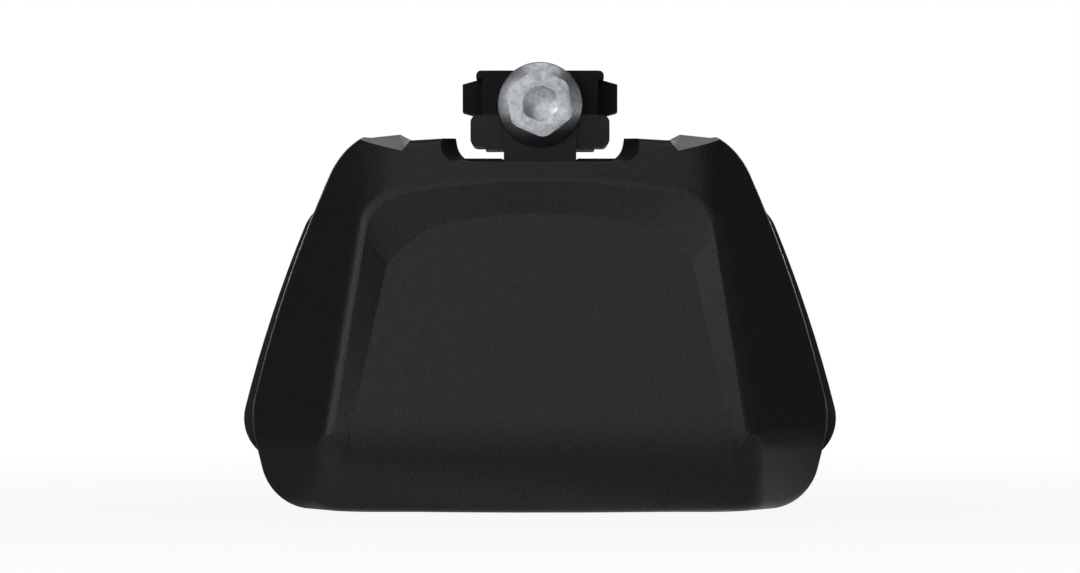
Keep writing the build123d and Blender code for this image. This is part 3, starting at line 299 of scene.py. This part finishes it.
def moulded_rubber(name):
    """EPDM rubber: dead matte black with a fine talc bloom."""
    material, tree = empty_tree(name)
    place = add_node(tree, "ShaderNodeTexCoord").outputs["Object"]
    bloom = add_node(tree, "ShaderNodeTexNoise", {"Vector": place, "Scale": per_mm(1.6), "Detail": 5.0})
    colour = add_node(
        tree, "ShaderNodeMix",
        {"Factor": bloom.outputs["Fac"], "A": linear("#111111"), "B": linear("#1b1b1b")},
        data_type="RGBA",
    )
    bump = add_node(
        tree, "ShaderNodeBump",
        {"Height": bloom.outputs["Fac"], "Strength": 0.2, "Distance": 0.05 * MM},
    )
    shader = add_node(
        tree, "ShaderNodeBsdfPrincipled",
        {
            "Base Color": colour.outputs["Result"],
            "Roughness": 0.8,
            "Normal": bump.outputs["Normal"],
            "Specular IOR Level": 0.25,
        },
    )
    add_node(tree, "ShaderNodeOutputMaterial", {"Surface": shader.outputs["BSDF"]})
    return material


FINISHES = {
    "cover_plastic": moulded_plastic("black ABS, spark-eroded", "#131314", "#161617", 0.37),
    "rear_plastic": moulded_plastic("black ABS, fine matte", "#0c0c0d", "#0f0f10", 0.55),
    "leg_casting": coated_metal("powder-coated cast aluminium", "#161617", "#1b1b1c", 0.52, 1.4),
    # The bracket's head, from its given height up, is painted dead black and matte as painted shade
    "bracket_steel": coated_metal("powder-coated steel", "#121213", "#151516", 0.48, 0.9, HEAD_SHADE_HEIGHT),
    "jaw_steel": coated_metal("e-coated steel", DEAD_BLACK, DEAD_BLACK, DEAD_ROUGH, 0.7, BLACK_ALL_OVER),
    "bolt_steel": zinc_steel("zinc-flake steel", "#8d9095", "#d3d6da", 0.36, 1.1),
    "screw_steel": zinc_steel("zinc-plated steel", "#a2a5a8", "#b9bcc0", 0.34, 0.8),
    "rubber": moulded_rubber("EPDM rubber"),
}
for row in frame["record"]["subparts"]:
    mesh = frame["nodes"][row["node"]].data
    mesh.materials.clear()
    mesh.materials.append(FINISHES[row["material_slot"]])


# Places along the bolt's axis, taken from the solids
bolt_low, bolt_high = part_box("clamp_bolt")
bolt_axis = Vector((0, 0, (bolt_low.z + bolt_high.z) / 2))
head_face = bolt_low.y / MM
flange_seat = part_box("bar_bracket")[0].y / MM
tail_end = bolt_high.y / MM
flange_radius = (bolt_high.x - bolt_low.x) / 2 / MM - FLANGE_INSET


def on_axis(rear):
    """Point on the bolt's axis, this many millimetres behind the origin."""
    return bolt_axis + Vector((0, rear * MM, 0))


def apply_modifier(piece, kind, **settings):
    """Add one modifier to a piece and apply it."""
    bpy.context.view_layer.objects.active = piece
    modifier = piece.modifiers.new(kind, kind)
    for name, value in settings.items():
        setattr(modifier, name, value)
    bpy.ops.object.modifier_apply(modifier=modifier.name)


def cut(piece, tool, operation):
    """Combine a piece with a tool by a boolean, and delete the tool."""
    apply_modifier(piece, "BOOLEAN", object=tool, operation=operation, solver="EXACT")
    bpy.data.objects.remove(tool)


def settle(piece):
    """Put a new piece's place, turn and size into its mesh."""
    bpy.ops.object.select_all(action="DESELECT")
    piece.select_set(True)
    bpy.context.view_layer.objects.active = piece
    bpy.ops.object.transform_apply(location=True, rotation=True, scale=True)
    return piece


def hexagon_bar(across, front, rear):
    """Hexagon bar on the bolt's axis, turned as the bolt stands."""
    bpy.ops.object.select_all(action="DESELECT")
    bpy.ops.mesh.primitive_cylinder_add(
        vertices=6,
        radius=across / 2 / cos(radians(30)) * MM,
        depth=(rear - front) * MM,
        location=on_axis((front + rear) / 2),
        rotation=(radians(90), radians(-HEX_TURN), 0),
    )
    return settle(bpy.context.object)


def turned_bar(stations):
    """Bar turned on the bolt's axis, drawn out through (rear, radius) stations from front to back."""
    bpy.ops.object.select_all(action="DESELECT")
    rear, radius = stations[0]
    bpy.ops.mesh.primitive_circle_add(
        vertices=TURNED_SIDES,
        radius=radius * MM,
        fill_type="NGON",
        location=on_axis(rear),
        rotation=(radians(90), 0, 0),
    )
    bar = settle(bpy.context.object)
    bpy.ops.object.mode_set(mode="EDIT")
    bpy.ops.mesh.select_all(action="SELECT")
    for next_rear, next_radius in stations[1:]:
        step = (0, (next_rear - rear) * MM, 0)
        bpy.ops.mesh.extrude_region_move(TRANSFORM_OT_translate={"value": step})
        scale = next_radius / radius
        bpy.ops.transform.resize(value=(scale, 1, scale), center_override=on_axis(next_rear))
        rear, radius = next_rear, next_radius
    bpy.ops.mesh.select_all(action="SELECT")
    bpy.ops.mesh.normals_make_consistent(inside=False)
    bpy.ops.object.mode_set(mode="OBJECT")
    return bar


def screw_thread(front, rear):
    """Metric thread between two places: one V of the profile, screwed along the axis and cut square."""
    root = (SHANK_RADIUS - THREAD_DEPTH) * MM
    crest = SHANK_RADIUS * MM
    flank = (1 - THREAD_ROOT - THREAD_CREST) / 2
    profile = [(root, THREAD_ROOT), (crest, THREAD_ROOT + flank), (crest, 1 - flank), (root, 1)]
    start = front - SPARE_TURNS * THREAD_PITCH
    turns = int((rear - front) / THREAD_PITCH) + 2 * SPARE_TURNS
    bpy.ops.object.select_all(action="DESELECT")
    bpy.ops.mesh.primitive_plane_add(size=MM, location=on_axis(start))
    thread = bpy.context.object
    bpy.ops.object.mode_set(mode="EDIT")
    bpy.ops.mesh.select_all(action="SELECT")
    bpy.ops.mesh.merge(type="CENTER")
    bpy.ops.transform.translate(value=(root, 0, 0))
    before, along = root, 0
    for radius, turn in profile:
        step = (radius - before, (turn - along) * THREAD_PITCH * MM, 0)
        bpy.ops.mesh.extrude_region_move(TRANSFORM_OT_translate={"value": step})
        before, along = radius, turn
    bpy.ops.object.mode_set(mode="OBJECT")
    apply_modifier(
        thread, "SCREW",
        axis="Y", screw_offset=THREAD_PITCH * MM, iterations=turns,
        steps=THREAD_STEPS, render_steps=THREAD_STEPS,
    )
    settle(thread)
    bpy.ops.object.mode_set(mode="EDIT")
    bpy.ops.mesh.select_all(action="SELECT")
    bpy.ops.mesh.remove_doubles(threshold=0.001 * MM)
    for place, side in ((front, -1), (rear, 1)):
        bpy.ops.mesh.select_all(action="SELECT")
        bpy.ops.mesh.bisect(
            plane_co=on_axis(place),
            plane_no=(0, side, 0),
            use_fill=True,
            clear_outer=True,
            threshold=0.0001 * MM,
        )
    bpy.ops.mesh.select_all(action="SELECT")
    bpy.ops.mesh.normals_make_consistent(inside=False)
    bpy.ops.object.mode_set(mode="OBJECT")
    return thread


# Head: chamfered hexagon with a shallow forged dish
head = hexagon_bar(HEX_ACROSS, head_face, flange_seat - FLANGE_RIM)
chamfer_run = 2 * HEX_ACROSS
bpy.ops.object.select_all(action="DESELECT")
bpy.ops.mesh.primitive_cone_add(
    vertices=TURNED_SIDES,
    radius1=(CHAMFER_FACE + chamfer_run / tan(radians(HEX_CHAMFER))) * MM,
    radius2=CHAMFER_FACE * MM,
    depth=chamfer_run * MM,
    location=on_axis(head_face + chamfer_run / 2),
    rotation=(radians(90), 0, 0),
)
cut(head, settle(bpy.context.object), "INTERSECT")
dish = hexagon_bar(DISH_ACROSS, head_face - DISH_DEPTH, head_face + 2 * DISH_DEPTH)
apply_modifier(
    dish, "BEVEL",
    width=DISH_CORNER * MM, segments=4, limit_method="ANGLE", angle_limit=radians(DISH_CORNER_ANGLE),
)
bpy.ops.object.select_all(action="DESELECT")
bpy.ops.mesh.primitive_uv_sphere_add(
    segments=64,
    ring_count=32,
    radius=DISH_CURVE * MM,
    location=on_axis(head_face + DISH_DEPTH - DISH_CURVE) + Vector((DISH_SHIFT, 0, -DISH_SHIFT)) * MM,
    rotation=(radians(90), 0, 0),
)
cut(dish, settle(bpy.context.object), "INTERSECT")
cut(head, dish, "DIFFERENCE")
apply_modifier(
    head, "BEVEL",
    width=HEX_EDGE * MM, segments=2, limit_method="ANGLE", angle_limit=radians(EDGE_ANGLE),
)

# Flange and shank, turned, and the thread around the shank's core
groove_front = tail_end - TAIL_SPAN - GROOVE_SPAN
shank_end = flange_seat + SHANK_PLAIN
core = SHANK_RADIUS - THREAD_DEPTH - CORE_GAP
flange = turned_bar([
    (flange_seat - FLANGE_TALL, FLANGE_TOP),
    (flange_seat - FLANGE_TALL, HEX_ACROSS / 2),
    (flange_seat - FLANGE_RIM, flange_radius),
    (flange_seat, flange_radius),
    (flange_seat, SHANK_RADIUS),
])
apply_modifier(
    flange, "BEVEL",
    width=FLANGE_EDGE * MM, segments=3, limit_method="ANGLE", angle_limit=radians(EDGE_ANGLE),
)
shank = turned_bar([
    (flange_seat - FLANGE_RIM, SHANK_RADIUS),
    (shank_end, SHANK_RADIUS),
    (shank_end + SHANK_RADIUS - core, core),
    (groove_front, core),
    (groove_front, GROOVE_RADIUS),
    (tail_end - TAIL_SPAN, GROOVE_RADIUS),
    (tail_end - TAIL_SPAN, SHANK_RADIUS),
    (tail_end - TAIL_CHAMFER, SHANK_RADIUS),
    (tail_end, SHANK_RADIUS - TAIL_CHAMFER),
])
thread = screw_thread(shank_end, groove_front)

# One piece, which turns with the bolt
bpy.ops.object.select_all(action="DESELECT")
for turned in (flange, shank, thread, head):
    turned.select_set(True)
bpy.context.view_layer.objects.active = head
bpy.ops.object.join()
bolt = bpy.context.object
bolt.name = "flange_bolt"
bpy.ops.object.shade_smooth_by_angle(angle=radians(30))
bolt.data.materials.clear()
bolt.data.materials.append(FINISHES["bolt_steel"])
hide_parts("clamp_bolt")
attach(bolt, "bolt")


# Floor: pale sheet that fades into the white backdrop away from the object
def pale_floor():
    """Pale studio paper that turns pure white some way off, and mirrors as a white card in front."""
    material, tree = empty_tree("white studio paper")
    place = add_node(tree, "ShaderNodeTexCoord").outputs["Object"]
    away = add_node(tree, "ShaderNodeVectorMath", {0: place}, operation="LENGTH")
    fade = add_node(
        tree, "ShaderNodeMapRange",
        {
            "Value": away.outputs["Value"],
            "From Min": FLOOR_FADE_START, "From Max": FLOOR_FADE_END, "To Min": FLOOR_WHITE,
        },
    )
    paper = add_node(tree, "ShaderNodeBsdfDiffuse", {"Color": linear("#a4a4a4")})
    glow = add_node(tree, "ShaderNodeEmission", {"Color": linear("#ffffff"), "Strength": 1.0})
    path = add_node(tree, "ShaderNodeLightPath")
    ahead = add_node(tree, "ShaderNodeVectorMath", {0: place, 1: AHEAD}, operation="DOT_PRODUCT")
    far = add_node(
        tree, "ShaderNodeMapRange",
        {
            "Value": ahead.outputs["Value"],
            "From Min": FAR_START, "From Max": FAR_END, "To Min": FLOOR_MIRRORED, "To Max": FLOOR_FAR,
        },
    )
    near = add_node(
        tree, "ShaderNodeMapRange",
        {
            "Value": ahead.outputs["Value"],
            "From Min": CARD_END, "From Max": CARD_START, "To Min": far.outputs["Result"],
        },
    )
    front = add_node(
        tree, "ShaderNodeMapRange",
        {"Value": ahead.outputs["Value"], "From Max": CARD_FULL, "To Max": near.outputs["Result"]},
    )
    mirrored = add_node(
        tree, "ShaderNodeMath",
        {0: path.outputs["Is Glossy Ray"], 1: front.outputs["Result"], 2: path.outputs["Is Camera Ray"]},
        operation="MULTIPLY_ADD",
    )
    seen = add_node(
        tree, "ShaderNodeMath",
        {0: mirrored.outputs["Value"], 1: fade.outputs["Result"]},
        operation="MULTIPLY",
    )
    mixed = add_node(
        tree, "ShaderNodeMixShader",
        {"Fac": seen.outputs["Value"], 1: paper.outputs["BSDF"], 2: glow.outputs["Emission"]},
    )
    add_node(tree, "ShaderNodeOutputMaterial", {"Surface": mixed.outputs["Shader"]})
    return material


bpy.ops.object.select_all(action="DESELECT")
bpy.ops.mesh.primitive_plane_add(size=FLOOR_SIZE, location=(0, 0, cad_low.z))
floor = bpy.context.object
floor.name = "floor"
floor.data.materials.append(pale_floor())


# World: white behind the object, dim studio elsewhere
world = bpy.data.worlds.new("studio")
bpy.context.scene.world = world
world.use_nodes = True
sky = world.node_tree
sky.nodes.clear()
way = add_node(sky, "ShaderNodeTexCoord").outputs["Generated"]
toward = add_node(sky, "ShaderNodeSeparateXYZ", {"Vector": way})
backdrop = add_node(
    sky, "ShaderNodeMapRange",
    {"Value": toward.outputs["Y"], "From Min": BACKDROP_EDGE, "From Max": BACKDROP_FULL},
    interpolation_type="SMOOTHSTEP",
)
path = add_node(sky, "ShaderNodeLightPath")
mirrored = add_node(
    sky, "ShaderNodeMath",
    {0: path.outputs["Is Glossy Ray"], 1: backdrop.outputs["Result"]},
    operation="MULTIPLY",
)
seen = add_node(
    sky, "ShaderNodeMath",
    {0: path.outputs["Is Camera Ray"], 1: path.outputs["Is Transmission Ray"]},
    operation="ADD",
)
white = add_node(
    sky, "ShaderNodeMath",
    {0: seen.outputs["Value"], 1: mirrored.outputs["Value"]},
    operation="ADD",
    use_clamp=True,
)
dim = add_node(sky, "ShaderNodeBackground", {"Color": linear("#ffffff"), "Strength": STUDIO_LIGHT})
pale = add_node(sky, "ShaderNodeBackground", {"Color": linear("#ffffff"), "Strength": 1.0})
mixed = add_node(
    sky, "ShaderNodeMixShader",
    {"Fac": white.outputs["Value"], 1: dim.outputs["Background"], 2: pale.outputs["Background"]},
)
add_node(sky, "ShaderNodeOutputWorld", {"Surface": mixed.outputs["Shader"]})


def softbox(name, place, width, height, level):
    """Soft area light on the object, with the brightness that a white card facing it would have."""
    lamp = bpy.data.lights.new(name, "AREA")
    lamp.shape = "RECTANGLE"
    lamp.size = width
    lamp.size_y = height
    reach = OBJECT_MIDDLE - Vector(place)
    lamp.energy = level * pi ** 2 * reach.length_squared
    light = bpy.data.objects.new(name, lamp)
    light.location = place
    light.rotation_euler = reach.to_track_quat("-Z", "Y").to_euler()
    bpy.context.scene.collection.objects.link(light)


softbox("front key", (-0.45, -1.15, 0.5), 2.0, 1.4, 0.58)
softbox("left key", (-1.0, -0.85, 0.45), 0.5, 0.6, 0.1)
softbox("right fill", (0.75, -0.8, 0.35), 0.8, 0.7, 0.02)
softbox("right side light", (1.1, -0.15, 0.3), 1.0, 0.8, 0.035)
softbox("left side light", (-1.1, -0.15, 0.3), 1.0, 0.8, 0.03)
softbox("rear light", (0.0, 1.5, 0.12), 1.3, 0.4, 0.35)
softbox("overhead light", (0.05, -0.2, 1.0), 0.9, 0.7, 0.22)

# Camera straight in front, as far away as the photograph's weak perspective asks
view_width = FRAME_WIDTH_PX / PX_PER_MM * MM
camera = bpy.data.cameras.new("camera")
camera.sensor_fit = "HORIZONTAL"
camera.lens = camera.sensor_width * CAMERA_DISTANCE / view_width
camera_object = bpy.data.objects.new("camera", camera)
camera_object.location = (0, -FOCUS_FRONT - CAMERA_DISTANCE, CAMERA_HEIGHT)
camera_object.rotation_euler = (radians(90), 0, 0)
bpy.context.scene.collection.objects.link(camera_object)
bpy.context.scene.camera = camera_object
bpy.context.scene.view_settings.view_transform = "Standard"
